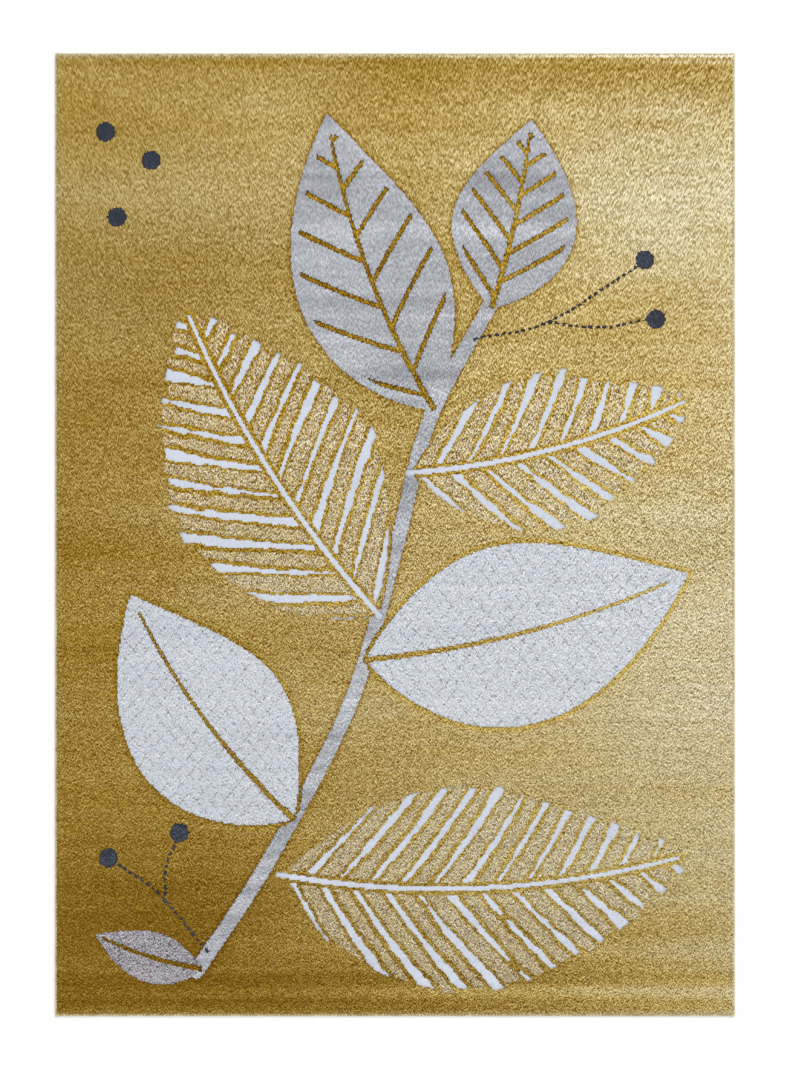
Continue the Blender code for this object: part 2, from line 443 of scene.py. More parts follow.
paintedSheen = dict(           # brightness of the gold, from 0 to 1: painted sheen of the leaning nap, with painted shade and light at edges
    middle=0.606,
    acrossRise=0.10,
    alongRise=0.075,
    corner=-0.03,
    # patches of painted sheen: places and widths in half widths and half lengths of the pile from its middle
    columns=("x", "y", "width", "length", "lift"),
    patches=(
        (1.10, 1.000, 1.00, 0.0032, 0.290),
        (1.00, 0.9876, 0.50, 0.0045, 0.110),
        (-0.32, 0.880, 0.25, 0.090, 0.025),
        (-0.92, 0.480, 0.20, 0.120, 0.025),
        (-0.92, 0.130, 0.20, 0.060, 0.030),
        (0.92, 0.350, 0.30, 0.200, -0.014),
        (0.95, -0.300, 0.25, 0.230, 0.020),
        (-0.50, 0.986, 0.60, 0.008, -0.060),
        (0.80, 0.985, 0.75, 0.070, -0.145),
        (0.03, 0.930, 0.30, 0.090, -0.070),
        (0.02, 0.740, 0.20, 0.060, -0.040),
        (-0.50, 1.000, 0.60, 0.060, -0.030),
        (0.72, 0.630, 0.40, 0.160, 0.045),
        (0.77, 0.786, 0.12, 0.040, -0.035),
        (0.755, 0.858, 0.08, 0.014, -0.080),
        (-0.80, 0.720, 0.40, 0.090, 0.034),
        (0.72, -0.180, 0.40, 0.300, 0.085),
        (-0.12, -0.920, 0.64, 0.120, -0.100),
        (0.36, -0.955, 0.14, 0.050, -0.045),
        (-0.95, -0.530, 0.25, 0.080, 0.040),
        (-0.78, -0.270, 0.24, 0.080, -0.045),
        (-0.76, -0.125, 0.16, 0.035, -0.035),
        (-0.56, -0.700, 0.30, 0.140, -0.085),
        (-0.70, -0.820, 0.40, 0.150, -0.050),
        (0.62, -0.900, 0.50, 0.110, -0.075),
        (-0.70, -0.780, 0.40, 0.004, 0.045),
        (0.85, -0.708, 0.14, 0.020, -0.055),
        (0.62, -0.740, 0.16, 0.035, -0.090),
        (0.65, -0.825, 0.60, 0.035, -0.105),
        (0.60, -0.863, 0.90, 0.012, 0.090),
        (0.70, -0.898, 0.90, 0.013, -0.095),
        (0.70, -0.917, 0.90, 0.011, -0.100),
        (0.65, -0.953, 0.80, 0.012, 0.140),
        (0.20, -0.974, 1.80, 0.007, -0.075),
        (0.60, -0.992, 0.90, 0.007, -0.180),
    ),
    lively=(                 # where the speckle is stronger or weaker, in the same columns
        (0.95, 0.440, 0.50, 0.320, -0.27),
        (0.90, -0.750, 0.60, 0.400, 0.16),
        (-0.90, -0.200, 0.40, 0.350, 0.10),
        (-0.35, -0.950, 0.50, 0.060, -0.18),
    ),
    pale=(                   # more or less of the pale ramp's painted sheen, in the same columns
        (-0.80, 0.560, 0.60, 0.300, 0.46),
        (-0.85, 0.050, 0.30, 0.220, 0.08),
        (0.85, 0.700, 0.45, 0.130, 0.25),
        (0.75, 0.300, 0.40, 0.180, -0.15),
        (0.80, -0.620, 0.35, 0.250, -0.10),
        (0.02, 0.900, 0.40, 0.120, -0.06),
        (0.10, -0.985, 1.30, 0.060, -0.34),
        (-0.60, 1.000, 1.20, 0.0055, 0.75),
    ),
    blotches=0.05,
    blotchSeed=25,
    blotchSize=(0.045, 0.018),
    # painted light at the left, right, foot and head rims against the falling shoulder's shade, and how far in it
    # reaches, in metres
    rimLights=((0.10, 0.0060), (0.05, 0.0060), (0.16, 0.0042), (0.15, 0.0042)),
    # streaks of painted sheen, whose reach grows towards the foot by lower and towards the right by right
    bandColumns=("seed", "across", "along", "strength", "lower", "right"),
    bands=(
        (21, 0.30, 0.010, 0.009, 0.0, 0.3),
        (22, 0.35, 0.035, 0.014, 0.0, 0.0),
        (23, 0.05, 0.025, 0.010, 0.0, 0.3),
        (24, 0.45, 0.0035, 0.010, 0.6, 0.5),
    ),
    # painted shade on the gold beside yarns that stand higher: the yarns, how far it reaches, and how dark it is
    shadowHalos=((("grey",), 0.0055, 0.20), (("grey", "cream"), 0.0022, 0.14)),
)
plainSheen = dict(       # brightness of the yarns of the pattern, with streaks of painted sheen
    middle=0.5,
    bandColumns=("seed", "across", "along", "strength"),
    bands=((31, 0.25, 0.005, 0.04), (32, 0.04, 0.02, 0.03)),
)


def patchesAt(rows):
    # The sum of lift exp(-((u - x) / width)^2 - ((v - y) / length)^2) over the rows.
    total = np.zeros(cornerU.shape)
    for row in rows:
        patch = dict(zip(paintedSheen["columns"], row))
        across = (cornerU - patch["x"]) / patch["width"]
        along = (cornerV - patch["y"]) / patch["length"]
        total = total + patch["lift"] * np.exp(-(across**2 + along**2))
    return total


def shadowHaloAt(names, width):
    # The share of the tufts round about that are of the named yarns, by a Gaussian of the width: how much painted
    # shade falls beside them.
    proud = np.isin(yarnAt, [yarnNames.index(name) for name in names]).astype(float)
    return aroundCorner(blurred(proud, width, width)) / 4


def streakedTone(tone, source):
    # The tone and streaks of painted sheen: the sum of strength times soft noise times exp(right u - lower v) over
    # the bands.
    for row in source["bands"]:
        band = dict(zip(source["bandColumns"], row))
        streaks = softNoise(band["seed"], band["across"], band["along"], cornerX)
        reach = np.exp(band.get("right", 0) * cornerU - band.get("lower", 0) * cornerV)
        tone = tone + band["strength"] * streaks * reach
    return tone


def paintedSheenTone():
    # Painted sheen: middle + acrossRise u + alongRise v + corner u v, plus patches and streaks. Painted shade:
    # less strength times the share of proud yarns near by. Painted light: plus lift exp(-(d / reach)^2) for the
    # distance d from each rim.
    tone = paintedSheen["middle"] + paintedSheen["acrossRise"] * cornerU + paintedSheen["alongRise"] * cornerV
    tone = tone + paintedSheen["corner"] * cornerU * cornerV + patchesAt(paintedSheen["patches"])
    tone = streakedTone(tone, paintedSheen)
    for names, width, strength in paintedSheen["shadowHalos"]:
        tone = tone - strength * shadowHaloAt(names, width)
    for away, (lift, reach) in zip(rimsAway, paintedSheen["rimLights"]):
        tone = tone + lift * np.exp(-((away / reach) ** 2))
    return tone


blotches = softNoise(paintedSheen["blotchSeed"], *paintedSheen["blotchSize"], cornerX)
paleness = patchesAt(paintedSheen["pale"]) + paintedSheen["blotches"] * blotches
liveliness = patchesAt(paintedSheen["lively"])
# The gold's painted sheen, shade and rim light, and the other yarns' painted sheen streaks, read by the materials
# as the tone.
goldSheenTone = paintedSheenTone()
plainSheenTone = streakedTone(plainSheen["middle"], plainSheen)
print("relief: tufts", cellX.shape, "gold tone", round(goldSheenTone.min(), 3), round(goldSheenTone.max(), 3))

# Pile pieces: one closed mesh for each yarn, from the pattern's tufts.

bake = dict(             # the map of a pile piece, which is 1 wide and 1 high
    border=0.002,            # metres left free round the plan view
    planHeight=0.985,        # of the map, under the plan view
    wall=0.0009,             # metres that a wall stands out from its edge
    foot=0.99,               # where the strip for the foot starts
    footHeight=0.009,
)


def newObject(name, data):
    made = bpy.data.objects.new(name, data)
    bpy.context.scene.collection.objects.link(made)
    return made


def makeMesh(name, places, quads, others=(), otherSizes=()):
    # An object from an array of places, an array of four-cornered faces, and other faces: their corners laid
    # end to end, and how many each has.
    mesh = bpy.data.meshes.new(name)
    corners = np.concatenate([quads.ravel(), others]).astype(np.int32)
    sizes = np.concatenate([np.full(len(quads), 4), otherSizes]).astype(np.int32)
    mesh.vertices.add(len(places))
    mesh.vertices.foreach_set("co", places.astype(np.float32).ravel())
    mesh.loops.add(len(corners))
    mesh.loops.foreach_set("vertex_index", corners)
    mesh.polygons.add(len(sizes))
    mesh.polygons.foreach_set("loop_start", np.concatenate([[0], np.cumsum(sizes)[:-1]]).astype(np.int32))
    mesh.update(calc_edges=True)
    return newObject(name, mesh)


def addAttribute(made, name, domain, values):
    made.data.attributes.new(name, "FLOAT", domain).data.foreach_set("value", values.astype(np.float32))


def addMap(made, name, places):
    made.data.uv_layers.new(name=name).data.foreach_set("uv", places.astype(np.float32).ravel())


def finishPiece(made, slot, look, nodes, sharp=65):
    # The look, and smooth shading up to the sharp angle in degrees. The slot is not used.
    made.data.materials.append(look)
    made.data.shade_smooth()
    made.data.set_sharp_from_angle(angle=math.radians(sharp))
    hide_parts(*nodes)
    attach(made, "root")
    return made


def inTurn(counts):
    # 0, 1, 2 ... up to each count in turn, and which count it is of.
    owner = np.repeat(np.arange(len(counts)), counts)
    return np.arange(counts.sum()) - (np.cumsum(counts) - counts)[owner], owner


def footStrips(cells, kept, start):
    # Cells side by side in a row share one face: the kept corners of its far line, and then the near line's,
    # backwards.
    change = np.diff(np.pad(cells, ((0, 0), (1, 1))).astype(int), axis=1)
    row, first = np.nonzero(change == 1)
    last = np.nonzero(change == -1)[1]
    keptPlaces = np.flatnonzero(kept)
    width = cells.shape[1] + 1
    lines = []
    for line in (row + 1, row):
        begin = np.searchsorted(keptPlaces, line * width + first)
        lines.append((begin, np.searchsorted(keptPlaces, line * width + last, "right") - begin))
    (farBegin, farCount), (nearBegin, nearCount) = lines
    sizes = farCount + nearCount
    step, owner = inTurn(sizes)
    onFar = step < farCount[owner]
    corner = np.where(onFar, farBegin[owner] + step, (nearBegin + sizes)[owner] - 1 - step)
    return start + corner, sizes


def bakeMap(flat, quads, strips, feet, outward):
    # The plan view fills the map. A wall gets a narrow strip outside its edge, and the foot one at the top.
    onMap = flat[quads]
    onMap[feet, :, 1] = bake["foot"] + bake["footHeight"] * onMap[feet, :, 1]
    onMap[feet.stop :, :2] += outward[:, None]
    return np.vstack([onMap.reshape(-1, 2), flat[strips] * (1, bake["footHeight"]) + (0, bake["foot"])])


def pilePiece(name, cells, kin, slot, look, tone):
    # Top: each corner of the cells at the mean height of its kin, the cells of its yarn, give or take the
    # tufts' unevenness. Walls: one quad for each outer edge of a cell. Foot: strips between the corners at
    # its edges.
    cellCount = aroundCorner(cells.astype(int))
    used = cellCount > 0
    kinCount = aroundCorner(kin.astype(int))[used]

    def meanOf(values):
        return aroundCorner(np.where(kin, values, 0))[used] / kinCount

    level = meanOf(cellHeight)
    height = level + meanOf(reliefTable[yarnAt, 1]) * standing[used] - shoulderFall[used]
    height = height - meanOf(reliefTable[yarnAt, 2]) * (4 - kinCount) / 2
    height = np.maximum(height, footAt[used] + relief["lowest"])
    kept = used & ((cellCount < 4) | atRim)
    x, y = cornerX + wanderX, cornerY + wanderY
    places = np.vstack([
        np.column_stack([x[used], y[used], height]),
        np.column_stack([x[kept], y[kept], footAt[kept]]),
    ])
    topCount, footCount = int(used.sum()), int(kept.sum())
    topNumber, footNumber = np.full(used.shape, -1), np.full(used.shape, -1)
    topNumber[used] = np.arange(topCount)
    footNumber[kept] = topCount + np.arange(footCount)
    topCorners, footCorners = cornersOf(topNumber), cornersOf(footNumber)
    tops = np.column_stack([corner[cells] for corner in topCorners])
    feet = np.column_stack([corner[cells & rimCells] for corner in footCorners[::-1]])
    walls, flecks, outward = [], [cellFleck[cells], np.zeros(len(feet))], []
    padded = np.pad(cells, 1)
    rows, columns = cells.shape
    for side, (up, right) in enumerate(((-1, 0), (0, 1), (1, 0), (0, -1))):
        outer = cells & ~padded[1 + up : 1 + up + rows, 1 + right : 1 + right + columns]
        one, two = side, (side + 1) % 4
        edge = (footCorners[one], footCorners[two], topCorners[two], topCorners[one])
        walls.append(np.column_stack([corner[outer] for corner in edge]))
        flecks.append(cellFleck[outer])
        outward.append(np.tile((right, up), (len(walls[-1]), 1)))
    quads = np.vstack([tops, feet, *walls])
    strips, stripSizes = footStrips(cells & ~rimCells, kept, topCount)
    flecks.append(np.zeros(len(stripSizes)))
    made = makeMesh(name, places, quads, strips, stripSizes)

    # Painted shade: a tuft lower than its kin is darker, and the foot and the walls' lower ends fully so.
    pit = np.clip((level - height) / pile["pitDepth"] + pile["pitMiddle"], 0, 1)
    addAttribute(made, "fleck", "FACE", np.concatenate(flecks))
    addAttribute(made, "pit", "POINT", np.concatenate([pit, np.ones(footCount)]))
    addAttribute(made, "carved", "POINT", np.concatenate([meanOf(carvedAt), np.zeros(footCount)]))
    for label, values in (("tone", tone), ("pale", paleness), ("lively", liveliness)):
        addAttribute(made, label, "POINT", np.concatenate([values[used], values[kept]]))
    low = places[:, :2].min(axis=0) - bake["border"]
    size = places[:, :2].max(axis=0) + bake["border"] - low
    flat = (places[:, :2] - low) / size * (1, bake["planHeight"])
    outward = np.vstack(outward) * bake["wall"] / size
    feetRows = slice(len(tops), len(tops) + len(feet))
    addMap(made, "OFBake", bakeMap(flat, quads, strips, feetRows, outward))
    return finishPiece(made, slot, look, ["pile_rug"])


# Materials


class Signal:
    # An output socket: maths on it reads as an expression, and each operation adds a Math node.

    def __init__(self, tree, socket=None):
        self.tree = tree
        self.socket = socket

    def node(self, kind, settings=None, inputs=None, output=0):
        # Any other node: its settings first, then a value or a link for each named socket.
        made = self.tree.nodes.new(kind)
        for setting, value in (settings or {}).items():
            if setting == "stops":
                setStops(made.color_ramp, value)
            else:
                setattr(made, setting, value)
        for socket, value in (inputs or {}).items():
            if isinstance(value, Signal):
                self.tree.links.new(value.socket, made.inputs[socket])
            else:
                made.inputs[socket].default_value = value
        return Signal(self.tree, made.outputs[output])

    def maths(self, operation, *values):
        # The operation on the given values alone, so this signal counts only where it is one of them.
        return self.node("ShaderNodeMath", {"operation": operation}, dict(enumerate(values)))

    def __add__(self, other):
        return self.maths("ADD", self, other)

    def __sub__(self, other):
        return self.maths("SUBTRACT", self, other)

    def __rsub__(self, other):
        return self.maths("SUBTRACT", other, self)

    def __mul__(self, other):
        return self.maths("MULTIPLY", self, other)

    def beside(self, output):
        # Another output of the same node.
        return Signal(self.tree, self.socket.node.outputs[output])

    __radd__, __rmul__ = __add__, __mul__


def linear(channel):
    # One colour channel from 0 to 255 as Blender's linear value, by the sRGB curve.
    share = channel / 255
    return share / 12.92 if share <= 0.04045 else ((share + 0.055) / 1.055) ** 2.4


def setStops(ramp, stops):
    # Each stop is its place, and its red, green and blue from 0 to 255.
    for k, (place, *channels) in enumerate(stops):
        element = ramp.elements[k] if k < 2 else ramp.elements.new(place)
        element.position = place
        element.color = (*map(linear, channels), 1.0)


def newMaterial(name, constants):
    # A Principled material with its constant sockets set. What varies is linked afterwards.
    made = bpy.data.materials.new(name)
    made.use_nodes = True
    shader = made.node_tree.nodes["Principled BSDF"]
    for socket, value in constants.items():
        shader.inputs[socket].default_value = value
    return made, shader, Signal(made.node_tree)


def link(shader, socket, signal):
    signal.tree.links.new(signal.socket, shader.inputs[socket])


def linkBump(shader, strength, distance, height):
    inputs = {"Strength": strength, "Distance": distance, "Height": height}
    link(shader, "Normal", height.node("ShaderNodeBump", inputs=inputs))


def objectPlace(start):
    return start.node("ShaderNodeTexCoord", output="Object")


def attribute(start, name):
    return start.node("ShaderNodeAttribute", {"attribute_name": name}, output="Fac")


def noiseAt(place, scale, detail, dimensions="3D"):
    inputs = {"Vector": place, "Scale": scale, "Detail": detail}
    return place.node("ShaderNodeTexNoise", {"noise_dimensions": dimensions}, inputs)


def colourRamp(level, stops):
    return level.node("ShaderNodeValToRGB", {"stops": stops}, {0: level})


def mixColours(share, one, other):
    return one.node("ShaderNodeMix", {"data_type": "RGBA"}, {0: share, 6: one, 7: other}, 2)


tuftEnds = dict(
    count=1040,              # tuft ends to the metre, on bent axes
    across=0.88,             # share of that count that there is across the rug, at its middle
    lean=0.33,               # what that share loses per metre towards the head
    along=(0.76, 0.57, 0.35),    # the share along: at the middle, lost towards the head, and over how far
    lag=0.0042,              # how far further along the tuft end stands whose shade falls here
    lagGain=0.0012,          # and how much that grows per metre along
    shade=0.28,              # strength of that shade
    lively=1.20,             # strength of the speckle halfway from lively foot to calm head
    livelier=0.50,           # the share it gains per metre across
    calmer=0.70,             # what it loses towards the head, and gains towards the foot
    calmFrom=0.07,           # where it is halfway
    calmWidth=0.42,          # and over how far it changes
    brighter=0.5,            # the share it gains where the tone is higher by 1
    fibres=1100,             # fibres to the metre
    fibreTone=0.2,           # their strength in the level
    fibreRoughness=0.2,
    pitRoughness=0.1,
    grainHeight=0.5,         # unevenness and rounding of the tuft ends, against the fibres' height of 1
    domeHeight=0.8,
    bump=0.0006,
    roughness=0.82,
    sheenRoughness=0.5,
    specular=0.06,
    detail=2.0,
)


def tuftCells(place):
    # A random cell for each tuft end, at x' = x (a - lean y) and y' = b y - c w log(cosh(y / w)): they lean
    # outwards at both sides, and are longer towards the head.
    x = place.node("ShaderNodeSeparateXYZ", inputs={0: place})
    y = x.beside("Y")
    bentX = x * (tuftEnds["across"] - y * tuftEnds["lean"])
    even, loss, width = tuftEnds["along"]
    curved = y.maths("LOGARITHM", y.maths("COSH", y * (1 / width)), math.e)
    bentY = y * even - curved * (loss * width)
    bent = x.node("ShaderNodeCombineXYZ", inputs={"X": bentX, "Y": bentY})
    settings = {"voronoi_dimensions": "2D", "feature": "F1"}
    cells = bent.node("ShaderNodeTexVoronoi", settings, {"Vector": bent, "Scale": tuftEnds["count"]})
    random = cells.node("ShaderNodeSeparateColor", inputs={0: cells.beside("Color")})
    return random, cells, x, y


def latticeLines(x, y):
    # 1 on the lozenge lines, falling to 0 beside them: 1 - d / width for the distance d of x + s y or x - s y
    # from a whole number of spacings.
    spacing, slope = relief["latticeSpacing"], relief["latticeSlope"]
    across, along = x * (1 / spacing), y * (slope / spacing)
    rising = x.maths("PINGPONG", across + along, 0.5)
    falling = x.maths("PINGPONG", across - along, 0.5)
    width = relief["latticeShade"] * math.hypot(1, slope) / spacing
    return x.maths("MAXIMUM", 1 - x.maths("MINIMUM", rising, falling) * (1 / width), 0.0)


def pileMaterial(name, look):
    # level = tone + strength (fleck + grain - shade) + fibre - pit, each by its own factor. The tone carries
    # painted sheen and, on the gold, painted shade and rim light. The shade is painted shade, the grain a lag
    # further along, and pit is painted shade in hollows and at the foot. strength = (1 + livelier x) (lively -
    # calmer tanh((y - calmFrom) / calmWidth)) (1 + brighter (tone - middle)) (1 + the lively attribute). One ramp
    # turns the level into a colour, and the pale ramp, the whitened colour of painted sheen, is mixed in where the
    # tone is high. The second ramp is mixed in evenly, more so in carved lines, lattice lines, patches and some of
    # the tufts, and less where the tone is highest.
    made, shader, start = newMaterial(name, {
        "Sheen Weight": look["sheen"],
        "Sheen Roughness": tuftEnds["sheenRoughness"],
        "Specular IOR Level": tuftEnds["specular"],
    })
    place = objectPlace(start)
    grain, fromMiddle, x, y = tuftCells(place)
    inputs = {0: place, 1: (1, 1 + tuftEnds["lagGain"], 1), 2: (0, tuftEnds["lag"], 0)}
    thrown = tuftCells(start.node("ShaderNodeVectorMath", {"operation": "MULTIPLY_ADD"}, inputs))[0]
    fibre = noiseAt(place, tuftEnds["fibres"], tuftEnds["detail"], "2D")
    pits = attribute(start, "pit")
    tone = (attribute(start, "tone") - 0.5) * look["tone"] + 0.5
    ends = grain - 0.5 - (thrown - 0.5) * tuftEnds["shade"]
    speckle = attribute(start, "fleck") * look["fleck"] + ends * look["grain"]
    headward = start.maths("TANH", (y - tuftEnds["calmFrom"]) * (1 / tuftEnds["calmWidth"]))
    strength = (1 + x * tuftEnds["livelier"]) * (tuftEnds["lively"] - headward * tuftEnds["calmer"])
    strength = strength * (tone * tuftEnds["brighter"] + (1 - tuftEnds["brighter"] * paintedSheen["middle"]))
    strength = strength * (1 + attribute(start, "lively"))
    level = tone + speckle * strength + (fibre - 0.5) * tuftEnds["fibreTone"] - pits * look["pit"]
    colour = colourRamp(level, look["stops"])
    if "pale" in look:
        paleShare = (tone - look["paleFrom"]) * look["paler"] + attribute(start, "pale")
        colour = mixColours(paleShare, colour, colourRamp(level, look["pale"]))
    if "second" in look:
        patches = noiseAt(place, look["patchScale"], tuftEnds["detail"], "2D")
        share = look["mixed"] + (patches - 0.5) * look["patches"]
        if "palest" in look:
            share = share - start.maths("MAXIMUM", paleShare - 1, 0.0) * look["palest"]
        if "carved" in look:
            share = share + attribute(start, "carved") * look["carved"]
        if "picked" in look:
            pick = grain.beside("Green")
            share = share + start.maths("MAXIMUM", (pick - look["pickFrom"]) * look["picked"], 0.0)
        if "lattice" in look:
            share = share + latticeLines(x, y) * (patches - look["latticeFrom"]) * look["lattice"]
        colour = mixColours(share, colour, colourRamp(level, look["second"]))
    link(shader, "Base Color", colour)
    roughness = tuftEnds["roughness"] + (fibre - 0.5) * tuftEnds["fibreRoughness"]
    link(shader, "Roughness", roughness + pits * tuftEnds["pitRoughness"])
    height = fibre + grain * tuftEnds["grainHeight"] - fromMiddle * tuftEnds["domeHeight"]
    linkBump(shader, look["bump"], tuftEnds["bump"], height)
    return made


goldLook = dict(
    stops=(
        (0.20, 88, 56, 1), (0.31, 115, 77, 2), (0.41, 139, 100, 10),
        (0.55, 170, 138, 52), (0.71, 211, 183, 104), (0.87, 250, 229, 156),
    ),
    pale=(
        (0.31, 86, 66, 14), (0.47, 128, 110, 58), (0.62, 168, 156, 118),
        (0.77, 210, 201, 175), (0.91, 243, 236, 215), (0.98, 253, 249, 234),
    ),
    paleFrom=0.455,          # the tone from which the pale ramp, painted sheen's whitened colour, is mixed in,
    paler=3.6,               # how fast its share rises from there,
    palest=0.5,              # and what the second ramp loses where that share is past 1
    second=(
        (0.24, 75, 46, 1), (0.38, 113, 77, 2), (0.54, 154, 118, 14),
        (0.70, 198, 166, 66), (0.88, 238, 217, 136),
    ),
    tone=1.0, fleck=0.025, grain=0.52, pit=0.09, bump=0.6, sheen=0.015,
    mixed=0.5, carved=1.0, patches=0.1, patchScale=40,
)
heatherLook = dict(
    stops=goldLook["second"],
    second=(
        (0.12, 98, 84, 60), (0.34, 164, 147, 110), (0.52, 209, 194, 160),
        (0.70, 237, 226, 200), (0.90, 255, 251, 238),
    ),
    tone=0.5, fleck=0.05, grain=0.70, pit=0.06, bump=0.7, sheen=0.05,
    mixed=0.0, patches=0.5, patchScale=80, pickFrom=0.40, picked=5.0,
)
whiteLook = dict(
    stops=((0.10, 167, 173, 185), (0.40, 197, 203, 214), (0.55, 207, 213, 224), (0.90, 227, 231, 240)),
    tone=0.6, fleck=0.03, grain=0.20, pit=0.05, bump=0.3, sheen=0.05,
)
creamLook = dict(
    stops=(
        (0.10, 168, 172, 181), (0.35, 188, 193, 202), (0.50, 201, 206, 215),
        (0.75, 226, 230, 238), (0.95, 246, 249, 253),
    ),
    # The second ramp's dark and white ends paint shade and glints on some of the tufts and along the lattice
    # lines.
    second=(
        (0.10, 60, 62, 66), (0.35, 126, 128, 132), (0.50, 184, 186, 189),
        (0.65, 236, 238, 241), (0.90, 255, 255, 255),
    ),
    tone=0.35, fleck=0.02, grain=0.50, pit=0.06, bump=0.5, sheen=0.1,
    mixed=0.03, patches=0.4, patchScale=110, pickFrom=0.72, picked=3.2, lattice=4.0, latticeFrom=0.28,
)
greyLook = dict(
    # The palest stops, which only the brightest tuft ends reach, are painted glints.
    stops=(
        (0.05, 94, 98, 102), (0.32, 140, 145, 150), (0.50, 173, 178, 183),
        (0.72, 214, 220, 226), (0.92, 250, 253, 255),
    ),
    second=((0.05, 96, 94, 98), (0.50, 174, 173, 178), (0.92, 250, 249, 255)),
    tone=1.0, fleck=0.02, grain=0.46, pit=0.08, bump=0.6, sheen=0.1,
    mixed=0.5, patches=1.2, patchScale=30,
)
charcoalLook = dict(
    stops=((0.10, 30, 33, 42), (0.50, 56, 60, 71), (0.90, 104, 111, 125)),
    tone=1.0, fleck=0.05, grain=0.40, pit=0.10, bump=0.5, sheen=0.02,
)
taupeLook = dict(
    stops=((0.10, 56, 53, 57), (0.38, 109, 105, 111), (0.52, 140, 136, 143), (0.85, 222, 218, 223)),
    tone=1.0, fleck=0.06, grain=1.15, pit=0.12, bump=0.7, sheen=0.05,
)


def goldBands(cells, parts=4):
    # Cuts the gold ground lengthwise into parts with about as many tufts each.
    load = np.cumsum(cells.sum(axis=0))
    cuts = np.searchsorted(load, load[-1] * np.arange(1, parts) / parts)
    for columns in np.split(np.arange(cells.shape[1]), cuts):
        band = np.zeros_like(cells)
        band[:, columns] = cells[:, columns]
        yield band


goldPile = pileMaterial("gold cut pile", goldLook)
goldCells = yarnAt == yarnNames.index("gold")
for number, band in enumerate(goldBands(goldCells), 1):
    pilePiece(f"goldPile{number}", band, goldCells, "gold_pile", goldPile, goldSheenTone)
for name, yarn, slot, look, tone in (
    ("heatherStripes", "heather", "gold_pile", heatherLook, goldSheenTone),
    ("whiteStripes", "white", "white_flatweave", whiteLook, plainSheenTone),
    ("creamLeaves", "cream", "cream_pile", creamLook, plainSheenTone),
    ("greyBranch", "grey", "lilac_grey_pile", greyLook, plainSheenTone),
    ("charcoalBerries", "charcoal", "charcoal_pile", charcoalLook, plainSheenTone),
    ("taupeLeaf", "taupe", "taupe_pile", taupeLook, plainSheenTone),
):
    cells = yarnAt == yarnNames.index(yarn)
    pilePiece(name, cells, cells, slot, pileMaterial(yarn + " pile", look), tone)

# The woven backing, whose edges run on into the overlocked selvedge.

backing = dict(
    top=0.00325,             # just under the foot of the pile
    selvedgeBottom=0.0016,
    selvedgeTop=0.0032,
    inset=0.0001,            # inside the pile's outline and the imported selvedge's
    corner=0.0040,
    selvedgeCorner=0.0040 / 3,
    cornerSteps=6,
    sharp=40,                # degrees from which an edge looks sharp
    warp=0.0032,             # from one warp yarn to the next, across the rug
    weft=0.0045,             # and from one rib of weft to the next, along it
    fibres=240,              # scale of the fibres' noise
    fibreDetail=3.0,
    fibreRoughness=0.15,     # what they add to the roughness,
    fibreHeight=0.4,         # and to the height, where the ribs add 1
    roughness=0.8,
    bump=(0.7, 0.0004),      # strength and distance
    stops=((0.2, 126, 104, 70), (0.5, 178, 156, 116), (0.85, 212, 196, 160)),
)


def roundedOutline(halfX, halfY, radius, z):
    # A rectangle with round corners, counter-clockwise: four arcs of radius about the corners' centres.
    steps = np.linspace(0, math.pi / 2, backing["cornerSteps"])
    corners = []
    for quarter, (sideX, sideY) in enumerate(((1, 1), (-1, 1), (-1, -1), (1, -1))):
        angle = steps + quarter * math.pi / 2
        x = sideX * (halfX - radius) + radius * np.cos(angle)
        y = sideY * (halfY - radius) + radius * np.sin(angle)
        corners.append(np.column_stack([x, y, np.full(len(angle), z)]))
    return np.vstack(corners)


def ringQuads(rings, count):
    # Quads between each ring of count places and the next: two neighbours on one ring, and the same two on
    # the other, backwards.
    ring, step = np.meshgrid(np.arange(rings - 1), np.arange(count), indexing="ij")
    low, high, following = ring * count, (ring + 1) * count, (step + 1) % count
    return np.stack([low + step, low + following, high + following, high + step], axis=-1).reshape(-1, 4)


def wovenBacking():
    # Six outlines from the underside up, joined ring to ring: slab, selvedge, slab.
    inset = backing["inset"]
    inner = (halfWidth - inset, halfLength - inset, backing["corner"])
    outer = (selvedge[0] - inset, selvedge[1] - inset, backing["selvedgeCorner"])
    levels = (
        (inner, 0.0),
        (inner, backing["selvedgeBottom"]),
        (outer, backing["selvedgeBottom"]),
        (outer, backing["selvedgeTop"]),
        (inner, backing["selvedgeTop"]),
        (inner, backing["top"]),
    )
    rings = np.array([roundedOutline(*size, z) for size, z in levels])
    count = rings.shape[1]
    top = (len(levels) - 1) * count + np.arange(count)
    ends = np.concatenate([np.arange(count)[::-1], top])
    quads = ringQuads(len(levels), count)
    return makeMesh("wovenBacking", rings.reshape(-1, 3), quads, ends, (count, count))


def backingMaterial():
    # ribs = 1/2 + 1/2 sin(2 pi x / warp) sin(2 pi y / weft). The colour's level is half ribs, half fibres.
    made, shader, start = newMaterial("woven backing", {"Specular IOR Level": 0.2})
    place = objectPlace(start)
    x = start.node("ShaderNodeSeparateXYZ", inputs={0: place})
    across = x.maths("SINE", x * (2 * math.pi / backing["warp"]))
    along = x.maths("SINE", x.beside("Y") * (2 * math.pi / backing["weft"]))
    fibre = noiseAt(place, backing["fibres"], backing["fibreDetail"])
    ribs = across * along * 0.5 + 0.5
    link(shader, "Base Color", colourRamp(ribs * 0.5 + fibre * 0.5, backing["stops"]))
    link(shader, "Roughness", backing["roughness"] + fibre * backing["fibreRoughness"])
    linkBump(shader, *backing["bump"], ribs + fibre * backing["fibreHeight"])
    return made


backingPiece = finishPiece(wovenBacking(), "backing", backingMaterial(), ["pile_rug"], backing["sharp"])

# The overlocked edges: yarn wound slantwise round the selvedge.

